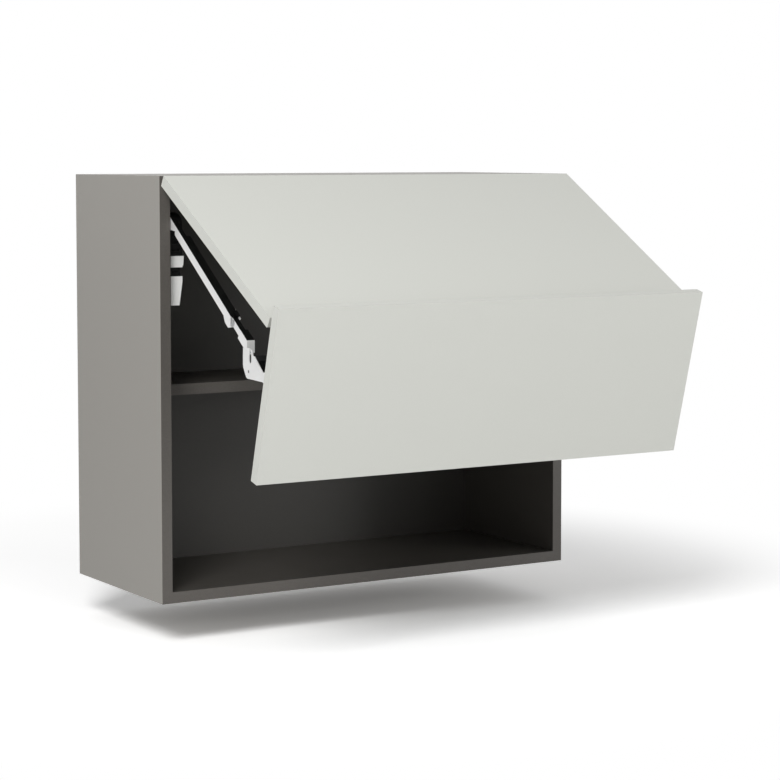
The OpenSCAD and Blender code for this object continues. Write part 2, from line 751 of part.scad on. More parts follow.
// Dark cap on the sloping top of the bracket
module bracket_caps() {
    a = cheek_pt(-20, 5);
    b = cheek_pt(-49.7, 14.8);
    up = turn(unit(a - b), 90) * cap_strip / 2;
    color([0.04, 0.04, 0.04]) on_lower() for (s = sides) on_side(s)
        slab(bracket_u, bracket_w) bar(a + up, b + up, cap_strip, cap_strip);
}

module bracket_screws() {
    color([0.75, 0.75, 0.76]) on_lower() for (s = sides) on_side(s) for (p = foot_screws)
        translate([p.x, foot_q + foot_t, p.y]) rotate([90, 0, 0]) {
            cylinder(h = foot_t + screw_len - 1, d = screw_d - 2 * fit_gap);
            translate([0, 0, -2]) cylinder(h = 2, d = screw_head_d);
        }
}

// ---------------------------------------------------------------- arms

// Local frame of the straight arm: -q runs down the arm from the elbow, z is its upper side
module along_arm() {
    placed() translate([0, elbow.x, elbow.y]) rotate([arm_slope, 0, 0]) children();
}

tongue_start = outer_start - 6;
tongue_end = outer_start + 68;
arm_u = lever_u - 0.2;

module lever(s) {
    color([0.93, 0.93, 0.92]) {
        placed() on_side(s) slab(lever_u, lever_t) difference() {
            union() {
                disc(lever_axis, 15);
                disc(elbow, 11);
                bar(lever_axis, elbow, 24, 20);
                bar(elbow, elbow - outer_start * [cos(arm_slope), sin(arm_slope)], 20, outer_h - 1);
            }
            disc(lever_axis, lever_pin_d / 2 + fit_gap);
            disc((lever_axis * 2 + elbow) / 3, 5);
            disc((lever_axis + elbow * 2) / 3, 5);
        }
        on_side_arm(s) translate([arm_u + arm_wall + 0.2, -tongue_end, -4.2])
            cube([lever_t - arm_wall - 0.2, tongue_end - tongue_start + 2, 8.4]);
    }
}

module on_side_arm(s) {
    placed() on_side(s) translate([0, elbow.x, elbow.y]) rotate([arm_slope, 0, 0]) children();
}

module lever_left() { lever(-1); }

module lever_right() { lever(1); }

cap_h = 1.3;
chan_top = outer_h / 2 - cap_h;

// Channel, open at the top, where the insert closes it
module outer_arm(s) {
    len = outer_end - outer_start;
    h = chan_top + outer_h / 2;
    color([0.93, 0.93, 0.92]) on_side_arm(s) difference() {
        translate([arm_u, -outer_end, -outer_h / 2]) cube([outer_w, len, h]);
        translate([arm_u + arm_wall, -outer_end - 1, -outer_h / 2 + arm_wall])
            cube([outer_w - 2 * arm_wall, len + 2, h]);
        for (k = [0, 1]) translate([arm_u - 1, -outer_start - 14 - 40 * k, 0]) rotate([0, 90, 0])
            cylinder(h = arm_wall + 1.2, d = 4);
    }
}

module outer_arm_left() { outer_arm(-1); }

module outer_arm_right() { outer_arm(1); }

module arm_insert(s) {
    len = outer_end - outer_start;
    color([0.04, 0.04, 0.04]) on_side_arm(s) {
        translate([arm_u, -outer_end, chan_top]) cube([outer_w, len, cap_h]);
        translate([arm_u + arm_wall + 2, -outer_end + 4, chan_top + cap_h]) cube([outer_w - 2 * arm_wall - 4, len - 20, 0.6]);
    }
}

module arm_insert_left() { arm_insert(-1); }

module arm_insert_right() { arm_insert(1); }

inner_u = bracket_u + cheek_t + 0.7;
inner_top = chan_top - 0.2;
inner_bottom = -outer_h / 2 + arm_wall + 0.2;
inner_back = tongue_end + 6;
head_up = 17.5;

// Inner bar with its end head and the eye of the bracket pin
module inner_arm(s) {
    color([0.93, 0.93, 0.92]) {
        on_side_arm(s) translate([inner_u + 0.4, -arm_len + 6, inner_bottom])
            cube([inner_w - 0.8, arm_len - 6 - inner_back, inner_top - inner_bottom]);
        placed() on_side(s) slab(inner_u, inner_w) difference() {
            union() {
                disc(arm_pin, 7.5);
                polygon([arm_pin + [-7.5, 0], arm_pin + [3, 16], arm_pin + [10, head_up],
                         arm_pin + [27, 17], arm_pin + [24, 6], arm_pin + [6, -5]]);
            }
            disc(arm_pin, arm_pin_d / 2);
        }
    }
}

module inner_arm_left() { inner_arm(-1); }

module inner_arm_right() { inner_arm(1); }

module arm_pin(s) {
    color([0.78, 0.78, 0.79]) placed() on_side(s)
        rod_x(arm_pin, bracket_u + 0.1, bracket_w - 0.2, arm_pin_d / 2);
}

module arm_pin_left() { arm_pin(-1); }

module arm_pin_right() { arm_pin(1); }

// Clamp collar round the end of the channel, with a rounded lower lip
module arm_clamp(s) {
    len = 16;
    t = 1.6;
    h = outer_h + 2 * t;
    color([0.93, 0.93, 0.92]) on_side_arm(s) difference() {
        translate([arm_u - 0.9, -outer_end - 6, 0]) union() {
            translate([0, 0, -h / 2]) cube([outer_w + 1.8, len, h - 0.9]);
            translate([0, 1, -h / 2 + 2]) rotate([0, 90, 0]) cylinder(h = outer_w + 1.8, r = 2);
        }
        translate([arm_u, -outer_end - 0.2, -outer_h / 2]) cube([outer_w, len + 8, outer_h + 1]);
        translate([inner_u - 0.2, -outer_end - 8, inner_bottom - 0.2])
            cube([inner_w + 0.4, 12, inner_top - inner_bottom + 0.4]);
    }
}

module arm_clamp_left() { arm_clamp(-1); }

module arm_clamp_right() { arm_clamp(1); }

module clamp_screw(s) {
    color([0.6, 0.6, 0.61]) on_side_arm(s)
        translate([arm_u + outer_w + 0.9, -outer_end + 4, 1]) rotate([0, 90, 0]) difference() {
            cylinder(h = 3.5, d = 8);
            translate([-3, -0.6, 2.3]) cube([6, 1.2, 2]);
        }
}

module clamp_screw_left() { clamp_screw(-1); }

module clamp_screw_right() { clamp_screw(1); }

side_left();
side_right();
top_panel();
bottom_panel();
back_panel();
shelf();
shelf_pins();
dowels();
hanger_left();
hanger_right();
hanger_hooks();
hanger_screws();
lift_base_left();
lift_base_right();
lift_spacers();
lift_housing_left();
lift_housing_right();
lift_cover_left();
lift_cover_right();
lift_pivots();
lift_screws();
force_screws();
top_hinge_plates();
top_hinge_arms();
top_hinge_screws();
top_hinge_links();
upper_front();
top_hinge_cups();
mid_hinge_plates();
mid_hinge_arms();
mid_arm_pins();
mid_plate_screws();
mid_hinge_links();
mid_link_pins();
lower_front();
mid_hinge_cups();
arm_bracket_left();
arm_bracket_right();
bracket_caps();
bracket_screws();
lever_left();
lever_right();
outer_arm_left();
outer_arm_right();
arm_insert_left();
arm_insert_right();
inner_arm_left();
inner_arm_right();
arm_pin_left();
arm_pin_right();
arm_clamp_left();
arm_clamp_right();
clamp_screw_left();
clamp_screw_right();
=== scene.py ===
"""Lift up wall cabinet: materials for the frame's nodes, finer lift arms, brackets and covers in mesh
code, and the floor, light and camera of the photograph."""

import json
import math

import bmesh
import bpy
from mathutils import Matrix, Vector
from mathutils.geometry import tessellate_polygon


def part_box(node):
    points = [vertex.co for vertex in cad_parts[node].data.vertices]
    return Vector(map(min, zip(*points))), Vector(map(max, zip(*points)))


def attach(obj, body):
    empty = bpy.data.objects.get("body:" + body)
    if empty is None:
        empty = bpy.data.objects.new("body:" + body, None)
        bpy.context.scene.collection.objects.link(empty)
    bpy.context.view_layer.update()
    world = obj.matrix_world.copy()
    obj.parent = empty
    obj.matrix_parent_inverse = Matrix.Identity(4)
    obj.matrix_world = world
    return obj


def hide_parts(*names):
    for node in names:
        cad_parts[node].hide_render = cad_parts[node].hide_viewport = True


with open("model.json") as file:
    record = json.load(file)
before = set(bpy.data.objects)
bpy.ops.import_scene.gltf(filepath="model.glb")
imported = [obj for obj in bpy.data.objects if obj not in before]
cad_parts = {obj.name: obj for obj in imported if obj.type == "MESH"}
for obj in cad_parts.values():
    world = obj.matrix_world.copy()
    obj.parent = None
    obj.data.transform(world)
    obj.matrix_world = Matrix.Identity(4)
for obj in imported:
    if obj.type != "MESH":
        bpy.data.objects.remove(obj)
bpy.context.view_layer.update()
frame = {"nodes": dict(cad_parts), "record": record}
nodes = frame["nodes"]
record = frame["record"]

MM = 1000              # millimetres in a metre
FACE = 0.0001          # a face this near to a plane lies in it, in metres

# Outer size of the carcass and front edge of the shelf, from the frame's own boards, in metres
side_lo, side_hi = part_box("side_left")
cab_w = -2 * side_lo.x
cab_h = side_hi.z
cab_front = side_lo.y
shelf_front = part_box("shelf")[0].y


# ---------------------------------------------------------------- materials

def lin(c):
    """Linear value of an sRGB channel from 0 to 255."""
    c = c / 255.0
    return c / 12.92 if c <= 0.04045 else ((c + 0.055) / 1.055) ** 2.4


def rgb(r, g, b):
    return (lin(r), lin(g), lin(b), 1.0)


def grey(v):
    return (v, v, v, 1)


class Mat:
    """A Principled material with helpers. Its texture coordinates are the object's own, in metres."""

    def __init__(self, name, rough=0.5, metallic=0.0, spec=0.5):
        self.m = bpy.data.materials.new(name)
        self.m.use_nodes = True
        self.t = self.m.node_tree
        self.n = self.t.nodes
        self.b = self.n["Principled BSDF"]
        self.b.inputs["Roughness"].default_value = rough
        self.b.inputs["Metallic"].default_value = metallic
        self.b.inputs["Specular IOR Level"].default_value = spec
        self.co = self.n.new("ShaderNodeTexCoord").outputs["Object"]

    def put(self, value, socket):
        """Links an output to a socket, or sets a plain value on it."""
        if isinstance(value, (int, float, tuple)):
            socket.default_value = value
        else:
            self.t.links.new(value, socket)

    def noise(self, scale, detail=3.0, rough=0.5, stretch=(1, 1, 1)):
        mapping = self.n.new("ShaderNodeMapping")
        mapping.inputs["Scale"].default_value = stretch
        self.put(self.co, mapping.inputs["Vector"])
        t = self.n.new("ShaderNodeTexNoise")
        t.inputs["Scale"].default_value = scale
        t.inputs["Detail"].default_value = detail
        t.inputs["Roughness"].default_value = rough
        self.put(mapping.outputs["Vector"], t.inputs["Vector"])
        return t.outputs["Fac"]

    def ramp(self, fac, first, last):
        """Colour ramp between two (position, colour) stops."""
        r = self.n.new("ShaderNodeValToRGB")
        for stop, (place, colour) in zip(r.color_ramp.elements, (first, last)):
            stop.position, stop.color = place, colour
        self.put(fac, r.inputs["Fac"])
        return r.outputs["Color"]

    def math(self, op, a, b=None):
        t = self.n.new("ShaderNodeMath")
        t.operation = op
        self.put(a, t.inputs[0])
        if b is not None:
            self.put(b, t.inputs[1])
        return t.outputs[0]

    def off(self, v, place):
        """Distance of v from a place."""
        return self.math("ABSOLUTE", self.math("SUBTRACT", v, place))

    def mix(self, fac, a, b, kind="MIX"):
        t = self.n.new("ShaderNodeMix")
        t.data_type = "RGBA"
        t.blend_type = kind
        self.put(fac, t.inputs["Factor"])
        colour_a, colour_b = t.inputs[6], t.inputs[7]
        self.put(a, colour_a)
        self.put(b, colour_b)
        return t.outputs[2]

    def clouded(self, c, cloud, share, low):
        """Colour c, a little darker where the cloud is low."""
        return self.mix(share, c, self.ramp(cloud, (0.3, grey(low)), (0.7, grey(1))), "MULTIPLY")

    def xyz(self):
        t = self.n.new("ShaderNodeSeparateXYZ")
        self.put(self.co, t.inputs[0])
        return t.outputs["X"], t.outputs["Y"], t.outputs["Z"]

    def color(self, c):
        self.put(c, self.b.inputs["Base Color"])

    def roughness(self, fac, lo, hi):
        t = self.n.new("ShaderNodeMapRange")
        t.inputs["To Min"].default_value = lo
        t.inputs["To Max"].default_value = hi
        self.put(fac, t.inputs["Value"])
        self.put(t.outputs[0], self.b.inputs["Roughness"])

    def bump(self, fac, strength, dist):
        t = self.n.new("ShaderNodeBump")
        t.inputs["Strength"].default_value = strength
        t.inputs["Distance"].default_value = dist
        self.put(fac, t.inputs["Height"])
        self.put(t.outputs["Normal"], self.b.inputs["Normal"])


def board(name, dark, pale, edge=None, outer=None):
    """Melamine-faced board with fine speckle. edge and outer are the (dark, pale) colours of its front
    edges and of the faces on the outside of the cabinet; with them, the plain colours are left on the
    inner faces. The shelf's front edge also takes the edge colour, as painted light."""
    m = Mat(name, rough=0.45, spec=0.35)
    speck = m.noise(scale=900.0, detail=4.0, rough=0.6)
    cloud = m.noise(scale=6.0, detail=2.0)
    grain = m.ramp(speck, (0.35, grey(0)), (0.7, grey(1)))
    c = m.mix(grain, dark, pale)
    if edge:
        x, y, z = m.xyz()
        # Carcass front edges, whose colour is partly a two-tone finish and partly painted light and
        # shade, and the shelf's front edge, where it is painted light
        edge_and_shelf_light_mask = m.math("MAXIMUM", m.math("LESS_THAN", y, cab_front + FACE),
                          m.math("LESS_THAN", m.off(y, shelf_front), FACE))
        # Outer faces: a lighter colour, partly a two-tone finish and partly painted light from the left
        outside = m.math("MAXIMUM", m.math("GREATER_THAN", m.math("ABSOLUTE", x), cab_w / 2 - FACE),
                         m.math("GREATER_THAN", m.off(z, cab_h / 2), cab_h / 2 - FACE))
        c = m.mix(edge_and_shelf_light_mask, c, m.mix(grain, *edge))
        c = m.mix(outside, c, m.mix(grain, *outer))
    m.color(m.clouded(c, cloud, share=0.08, low=0.9))
    m.roughness(cloud, 0.4, 0.5)
    m.bump(speck, strength=0.08, dist=0.0003)
    return m.m


def lacquer(name, dark, pale):
    m = Mat(name, rough=0.5, spec=0.3)
    fine = m.noise(scale=1400.0, rough=0.6)
    cloud = m.noise(scale=3.0, detail=2.0)
    c = m.mix(m.ramp(fine, (0.3, grey(0)), (0.7, grey(1))), dark, pale)
    m.color(m.clouded(c, cloud, share=0.05, low=0.93))
    m.roughness(cloud, 0.45, 0.55)
    m.bump(fine, strength=0.05, dist=0.0002)
    return m.m


def metal(name, dark, pale, rough, streak, metallic=1.0):
    """Metal with fine lines; streak stretches them along the axes where it is small."""
    m = Mat(name, rough, metallic)
    line = m.noise(scale=300.0, stretch=streak)
    cloud = m.noise(scale=40.0, detail=2.0)
    m.color(m.mix(line, dark, pale))
    m.roughness(cloud, rough - 0.06, rough + 0.06)
    m.bump(line, strength=0.04, dist=0.0001)
    return m.m


def plastic(name, dark, pale, rough, spec=0.5):
    m = Mat(name, rough, spec=spec)
    grain = m.noise(scale=1200.0, detail=2.0)
    m.color(m.mix(grain, dark, pale))
    m.roughness(grain, rough - 0.05, rough + 0.05)
    m.bump(grain, strength=0.1, dist=0.0002)
    return m.m


def wood(name, dark, pale):
    m = Mat(name, rough=0.7, spec=0.2)
    grain = m.noise(scale=120.0, detail=4.0, rough=0.6, stretch=(0.08, 1, 1))
    m.color(m.mix(grain, dark, pale))
    m.bump(grain, strength=0.15, dist=0.0003)
    return m.m


mats = {
    # Carcass: the plain colours on its inner faces are dark as painted shade inside the cabinet; outer
    # faces and front edges are partly a two-tone finish, partly painted light and shade; the shelf's
    # front edge is painted light
    "carcass_board": board("carcass_board", rgb(65, 62, 58), rgb(75, 72, 68),
                           edge=(rgb(80, 77, 73), rgb(91, 87, 83)),
                           outer=(rgb(142, 139, 134), rgb(152, 149, 143))),
    # Back board: its dark colour is painted shade inside the cabinet
    "back_board": board("back_board", rgb(54, 52, 49), rgb(62, 60, 56)),
    "front_board": lacquer("front_board", rgb(197, 198, 192), rgb(202, 203, 197)),
    "dowel_wood": wood("dowel_wood", rgb(186, 150, 104), rgb(214, 182, 134)),
    "hanger_plastic": plastic("hanger_plastic", rgb(214, 214, 210), rgb(222, 222, 218), 0.5),
    "cover_white": plastic("cover_white", rgb(228, 228, 226), rgb(236, 236, 234), 0.42),
    "housing_black": plastic("housing_black", rgb(4, 4, 4), rgb(9, 9, 9), 0.5, spec=0.3),
    "insert_black": plastic("insert_black", rgb(3, 3, 3), rgb(6, 6, 6), 0.45, spec=0.12),
    "zinc_steel": metal("zinc_steel", rgb(188, 190, 192), rgb(214, 215, 216), 0.34,
                        streak=(1, 0.1, 0.1)),
    "shelf_pin_metal": metal("shelf_pin_metal", rgb(182, 182, 182), rgb(208, 208, 208), 0.3,
                             streak=(0.1, 1, 1)),
    "hinge_nickel": metal("hinge_nickel", rgb(204, 205, 206), rgb(224, 225, 226), 0.26,
                          streak=(1, 0.2, 0.2)),
    "arm_metal": metal("arm_metal", rgb(226, 226, 225), rgb(238, 238, 237), 0.38,
                       streak=(1, 0.1, 0.1), metallic=0.35),
}
slot_of = {s["node"]: s["material_slot"] for s in record["subparts"]}
for name, o in nodes.items():
    o.data.materials.clear()
    o.data.materials.append(mats[slot_of[name]])


# ---------------------------------------------------------------- drawing in side view
# The lift mechanisms are drawn in mm. A side-view point is (q, z), with q back from the carcass front,
# and u runs inwards from a side panel, so that one drawing serves both sides.

SIDES = {"left": -1, "right": 1}
half_in = -MM * side_hi.x
body_of = {n: body for body, names in record["behaviour"]["bodies"].items() for n in names}


def turn(v, degrees):
    a = math.radians(degrees)
    return v[0] * math.cos(a) - v[1] * math.sin(a), v[0] * math.sin(a) + v[1] * math.cos(a)


def add(a, b):
    return a[0] + b[0], a[1] + b[1]


def arc(centre, r, start, end, count):
    """Points on an arc from start to end degrees, in count equal steps."""
    steps = [start + (end - start) * i / count for i in range(count + 1)]
    return [add(centre, turn((r, 0), a)) for a in steps]


def circle(centre, r, count=24):
    return arc(centre, r, 0, 360, count)[:-1]


def side_centre(node):
    """Side-view middle of a node's box."""
    lo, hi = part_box(node)
    return MM * ((lo.y + hi.y) / 2 - cab_front), MM * (lo.z + hi.z) / 2


def prism(place, outline, t0, t1, holes=()):
    """Closed solid: an outline with holes, swept from t0 to t1; place turns (point, t) into u, q, z."""
    loops = [list(outline)] + [list(h) for h in holes]
    flat = [p for loop in loops for p in loop]
    tris = tessellate_polygon([[Vector((p[0], p[1], 0)) for p in loop] for loop in loops])
    n = len(flat)
    verts = [place(p, t) for t in (t0, t1) for p in flat]
    faces = [tuple(t) for t in tris] + [tuple(i + n for i in reversed(t)) for t in tris]
    start = 0
    for loop in loops:
        ring = range(start, start + len(loop))
        faces += [(a, b, b + n, a + n) for a, b in zip(ring, [*ring[1:], ring[0]])]
        start += len(loop)
    return verts, faces


def slab(u0, w, outline, holes=()):
    """Side-view outline, w thick from u0."""
    return prism(lambda p, t: (t, p[0], p[1]), outline, u0, u0 + w, holes)


def new_object(name, data):
    o = bpy.data.objects.new(name, data)
    bpy.context.scene.collection.objects.link(o)
    return o


def add_piece(name, me, node, slot):
    """Shows the mesh in place of a node, on that node's body."""
    o = new_object(name, me)
    me.materials.clear()
    me.materials.append(mats[slot])
    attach(o, body_of[node])
    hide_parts(node)


def piece(name, sides, solids, node):
    """One object made of closed solids, the same on each of the given sides."""
    bm = bmesh.new()
    for sign in sides:
        for verts, faces in solids:
            made = [bm.verts.new((sign * (half_in - u) / MM, q / MM + cab_front, z / MM))
                    for u, q, z in verts]
            for f in faces:
                bm.faces.new([made[i] for i in f])
    bmesh.ops.recalc_face_normals(bm, faces=bm.faces)
    me = bpy.data.meshes.new(name)
    bm.to_mesh(me)
    bm.free()
    add_piece(name, me, node, slot_of[node])


# ---------------------------------------------------------------- lift arm
# Places along the arm are measured down from its bend, heights from its middle line. Sizes in u are
# the near face (_U) and the width (_W) or thickness (_T).

GAP = 0.1              # between pieces that lie against each other
ARM_SLOPE = 35.0       # degrees, in the shown pose
ARM_LEN = 350.7        # bend of the lever to the bracket's pin
ARM_DROP = 2.9         # middle line below the line from bend to pin

CHANNEL_START, CHANNEL_END = 62.0, 266.0
CHANNEL_W = 15.0
HI, LO = 7.1, -7.1     # upper and lower side of the channel
WALL = 1.5

LEVER_U, LEVER_T = 1.7, 8.0
KNEE = (-1.8, -3.4)    # from the bend
KNEE_R = 11.0          # half of the lever's width there
LEVER_STEP = (-18.5, -12.8)   # inner corner, from the knee
LEVER_STEP_H = 6.5
LEVER_TOE = 44.0       # where its underside comes to the arm's
LEVER_END_R = 13.0
PIVOT_BORE = 5.1
LEVER_HOLE_R = 5.0
LEVER_HOLES = (0.33, 0.62)    # shares of the way from knee to pivot
TONGUE_END = CHANNEL_START + 68.0    # the lever's tongue lies in the channel
TONGUE_HI, TONGUE_LO = 4.2, -4.2
TONGUE_PLAY = 0.2

BAR_START = 136.0
BAR_W, BAR_H = 9.0, 10.8
BAR_U = LEVER_U + (CHANNEL_W - BAR_W) / 2
BAR_HI = HI - 1.4

CHEEK_U, CHEEK_T = 0.5, 1.6   # outer cheek of the bracket
HEAD_START = 302.0
HEAD_HEEL = 324.0      # end of its underside
HEAD_HI, HEAD_LO = HI + 1.7, LO - 0.2
HEAD_U = CHEEK_U + CHEEK_T + 0.4
HEAD_W = 13.7
HEAD_FRONT = 14.1      # its front face, from the pin towards the cabinet
HEAD_BELOW = 2.0       # its lower end, below the pin
HEAD_END_DEPTH = 6.5
EYE_R, EYE_T = 3.2, 2.2
PIN_R = 1.6            # bore of the eye
PIN_PLAY = 0.05
PIN_OUT = 0.3          # the pin ends this far past the eye

STRIP_T = 0.6
STRIP_START = 52.0     # of the wide strip, which ends with the channel
BAND_END = 0.45        # share of the way from knee to pivot
BAND_FLARE = 1.0
HEAD_STRIP_LEN = 26.0
BAR_STRIP_INSET, HEAD_STRIP_INSET = 0.2, 0.4
BAR_STRIP_END = HEAD_START - 0.5
STOP_W, STOP_LEN, STOP_H = 6.0, 12.0, 3.0
STOP_END = CHANNEL_END + 1.0
PLUG_START, PLUG_END = CHANNEL_END - 6.0, CHANNEL_END + 0.5

# Outlines of the clamp, from the channel's lower end corner
CLAMP_T, CLAMP_TAB_T = 0.8, 1.2
CLAMP_LOW = [(-20, 0), (-12, -4.6), (-6.6, -5.5), (2.7, -5.5)]
CLAMP_PLATE = [(-20, HI - LO), *CLAMP_LOW, (11, 1.9), (6.6, 1.9), (-1, HI - LO)]
CLAMP_LIP = [*CLAMP_LOW, (9, 0)]
CLAMP_TAB = [(-0.5, 10.6), (4, 10.6), (4, 13.6), (-0.5, 13.6)]
CLAMP_SCREW = (8.0, 8.3)
CLAMP_SCREW_R, CLAMP_SCREW_T = 4.5, 2.4

pin = side_centre("arm_pin_left")
axis = side_centre("lift_pivots")
bend = add(pin, turn((ARM_LEN, -ARM_DROP), ARM_SLOPE))
knee = add(bend, KNEE)
climb = (axis[0] - knee[0], axis[1] - knee[1])
across = math.degrees(math.atan2(climb[1], climb[0])) + 90


def arm_pt(s, h):
    """Point s down the arm from its bend and h above its middle line."""
    return add(bend, turn((-s, h), ARM_SLOPE))


def knee_pt(share, out):
    """Point at a share of the way from knee to pivot, out to the lever's upper side."""
    return add((knee[0] + climb[0] * share, knee[1] + climb[1] * share), turn((out, 0), across))


def clamp_outline(points):
    return [arm_pt(CHANNEL_END + ds, LO + dh) for ds, dh in points]


def along_arm(profile, s0, s1):
    """Profile in (u, h) swept along the arm."""
    return prism(lambda p, t: (p[0], *arm_pt(t, p[1])), profile, s0, s1)


def block(u0, w, s0, s1, h0, h1):
    return slab(u0, w, [arm_pt(s0, h0), arm_pt(s1, h0), arm_pt(s1, h1), arm_pt(s0, h1)])


def strip(u0, w, s0, s1, h, inset=0.0):
    """Black strip on an upper side at height h, as painted dark reflection."""
    return block(u0 + inset, w - 2 * inset, s0, s1, h + GAP, h + GAP + STRIP_T)


def lever():
    step = add(knee, LEVER_STEP)
    outline = [arm_pt(0, HI), knee_pt(0, KNEE_R), *arc(axis, LEVER_END_R, across, across - 180, 18),
               knee_pt(0, -KNEE_R), step, add(step, (0, -LEVER_STEP_H)), arm_pt(LEVER_TOE, LO),
               arm_pt(CHANNEL_START, LO), arm_pt(CHANNEL_START, HI)]
    holes = [circle(knee_pt(k, 0), LEVER_HOLE_R, 36) for k in LEVER_HOLES]
    holes.append(circle(axis, PIVOT_BORE, 36))
    inset = WALL + TONGUE_PLAY
    tongue = block(LEVER_U + inset, LEVER_T - inset, CHANNEL_START + GAP, TONGUE_END,
                   TONGUE_LO, TONGUE_HI)
    return [slab(LEVER_U, LEVER_T, outline, holes), tongue]


def channel():
    """Channel that is open above."""
    u0, u1 = LEVER_U, LEVER_U + CHANNEL_W
    profile = [(u0, HI), (u0, LO), (u1, LO), (u1, HI), (u1 - WALL, HI), (u1 - WALL, LO + WALL),
               (u0 + WALL, LO + WALL), (u0 + WALL, HI)]
    return [along_arm(profile, CHANNEL_START, CHANNEL_END)]


def painted_reflection_strips():
    """Black parts on the upper sides of lever, channel, inner bar and head: painted dark reflection on
    the up-facing sides.
    """
    under, over = [[arm_pt(STRIP_START, HI + d), arm_pt(0, HI + d), knee_pt(0, KNEE_R + d),
                    knee_pt(BAND_END, KNEE_R + BAND_FLARE + d)] for d in (GAP, GAP + STRIP_T)]
    stop = block(LEVER_U + CHANNEL_W - STOP_W, STOP_W, CHANNEL_END - STOP_LEN, STOP_END,
                 HI + GAP + STRIP_T, HI + GAP + STOP_H)
    plug = block(LEVER_U + WALL, CHANNEL_W - 2 * WALL, PLUG_START, PLUG_END, BAR_HI + GAP, HI)
    return [slab(LEVER_U, LEVER_T, under + over[::-1]),
            strip(LEVER_U, CHANNEL_W, STRIP_START, CHANNEL_END, HI), stop, plug,
            strip(BAR_U, BAR_W, PLUG_END + GAP, BAR_STRIP_END, BAR_HI, BAR_STRIP_INSET),
            strip(HEAD_U, HEAD_W, HEAD_START, HEAD_START + HEAD_STRIP_LEN, HEAD_HI, HEAD_STRIP_INSET)]


def inner_bar():
    """Inner bar, its head, and the thin eye that holds the pin."""
    front = pin[0] + HEAD_FRONT
    low = pin[1] - HEAD_BELOW
    slope = math.radians(ARM_SLOPE)
    head_end = (bend[0] - front - HEAD_HI * math.sin(slope)) / math.cos(slope)
    head = [arm_pt(HEAD_START, HEAD_LO), arm_pt(HEAD_START, HEAD_HI), arm_pt(head_end, HEAD_HI),
            (front, low), (front + HEAD_END_DEPTH, low), arm_pt(HEAD_HEEL, HEAD_LO)]
    eye = [*arc(pin, EYE_R, 90, 270, 16), (front - GAP, pin[1] - EYE_R), (front - GAP, pin[1] + EYE_R)]
    return [block(BAR_U, BAR_W, BAR_START, HEAD_START - GAP, BAR_HI - BAR_H, BAR_HI),
            slab(HEAD_U, HEAD_W, head), slab(HEAD_U, EYE_T, eye, [circle(pin, PIN_R)])]


def clamp():
    """Two side plates, the lip below the channel, and the tab on the inner plate."""
    plate = clamp_outline(CLAMP_PLATE)
    inner_u = LEVER_U + CHANNEL_W
    return [slab(LEVER_U - CLAMP_T, CLAMP_T, plate), slab(inner_u, CLAMP_T, plate),
            slab(LEVER_U, CHANNEL_W, clamp_outline(CLAMP_LIP)),
            slab(inner_u, CLAMP_TAB_T, clamp_outline(CLAMP_TAB))]


def clamp_screw():
    centre = clamp_outline([CLAMP_SCREW])[0]
    return [slab(BAR_U - CLAMP_SCREW_T, CLAMP_SCREW_T, circle(centre, CLAMP_SCREW_R))]


def pin_rod():
    u0, u1 = CHEEK_U + GAP, HEAD_U + EYE_T + PIN_OUT
    return [slab(u0, u1 - u0, circle(pin, PIN_R - PIN_PLAY))]


# ---------------------------------------------------------------- bracket on the lower panel
# Its points are (towards the cabinet, down) from the pin, as they lie with the front closed.

LOWER_LEAN = 15.288    # degrees that the panel leans back in the shown pose
BRACKET_W = HEAD_W + 2 * (HEAD_U - CHEEK_U)
FOOT_T, FOOT_W = 2.5, 46.0
FOOT_TOP, FOOT_BOTTOM = -6, 56
CHEEK_TOP, CHEEK_BOTTOM = 6, 44      # of the white cheek, where it meets the foot
CHEEK_LOW = [(-51.4, 31), (-12.7, 40.2), (-1.5, 43), (2.5, 42), (5.4, 40.2), (9.5, 36.2),
             (15.6, 30.9), (18.1, 26.3)]
CHEEK_HIGH = [(21.5, 14.1), (24.8, 0.6), (14, -3), (6, -5.5), (-6, -5.5), (-9.3, 2.3), (-15, 1.4),
              (-17.9, 3.2), (-47.1, 16.2)]
BLACK_TOP = -5
BLACK_HIGH = [(18, 17), (12, 9.7), (-19.4, -1.4), (-30, -5)]
WEB = [(-22, 6.2), (-22, 8.2), (-47, 19), (-47, 17)]
SLOT_R, SLOT_UP, SLOT_DOWN = 3.7, 1.4, 13.4    # ends of the slot above and below the pin
CHEEK_HOLE, CHEEK_HOLE_R = (-2, 31.2), 2.8


def panel_face():
    """The panel's inner face from the pin, front closed, from the frame's own bracket."""
    points = [v.co for v in nodes["arm_bracket_left"].data.vertices]
    from_pin = [(MM * (p.y - cab_front) - pin[0], MM * p.z - pin[1]) for p in points]
    return min(turn(p, -LOWER_LEAN)[0] for p in from_pin)


face = panel_face()


def cheek_pt(dq, down):
    return add(pin, turn((dq, -down), LOWER_LEAN))


def bracket():
    """White outer cheek with its upright slot, and the foot on the panel."""
    outline = [(face, CHEEK_TOP), (face, CHEEK_BOTTOM), *CHEEK_LOW, *CHEEK_HIGH]
    slot = [*arc(add(pin, (0, SLOT_UP)), SLOT_R, 0, 180, 12),
            *arc(add(pin, (0, -SLOT_DOWN)), SLOT_R, 180, 360, 12)]
    hole = circle(cheek_pt(*CHEEK_HOLE), CHEEK_HOLE_R)
    foot = [(face, FOOT_TOP), (face, FOOT_BOTTOM), (face + FOOT_T, FOOT_BOTTOM),
            (face + FOOT_T, FOOT_TOP)]
    return [slab(CHEEK_U, CHEEK_T, [cheek_pt(*p) for p in outline], [slot, hole]),
            slab(CHEEK_U + CHEEK_T, FOOT_W - CHEEK_T, [cheek_pt(*p) for p in foot])]


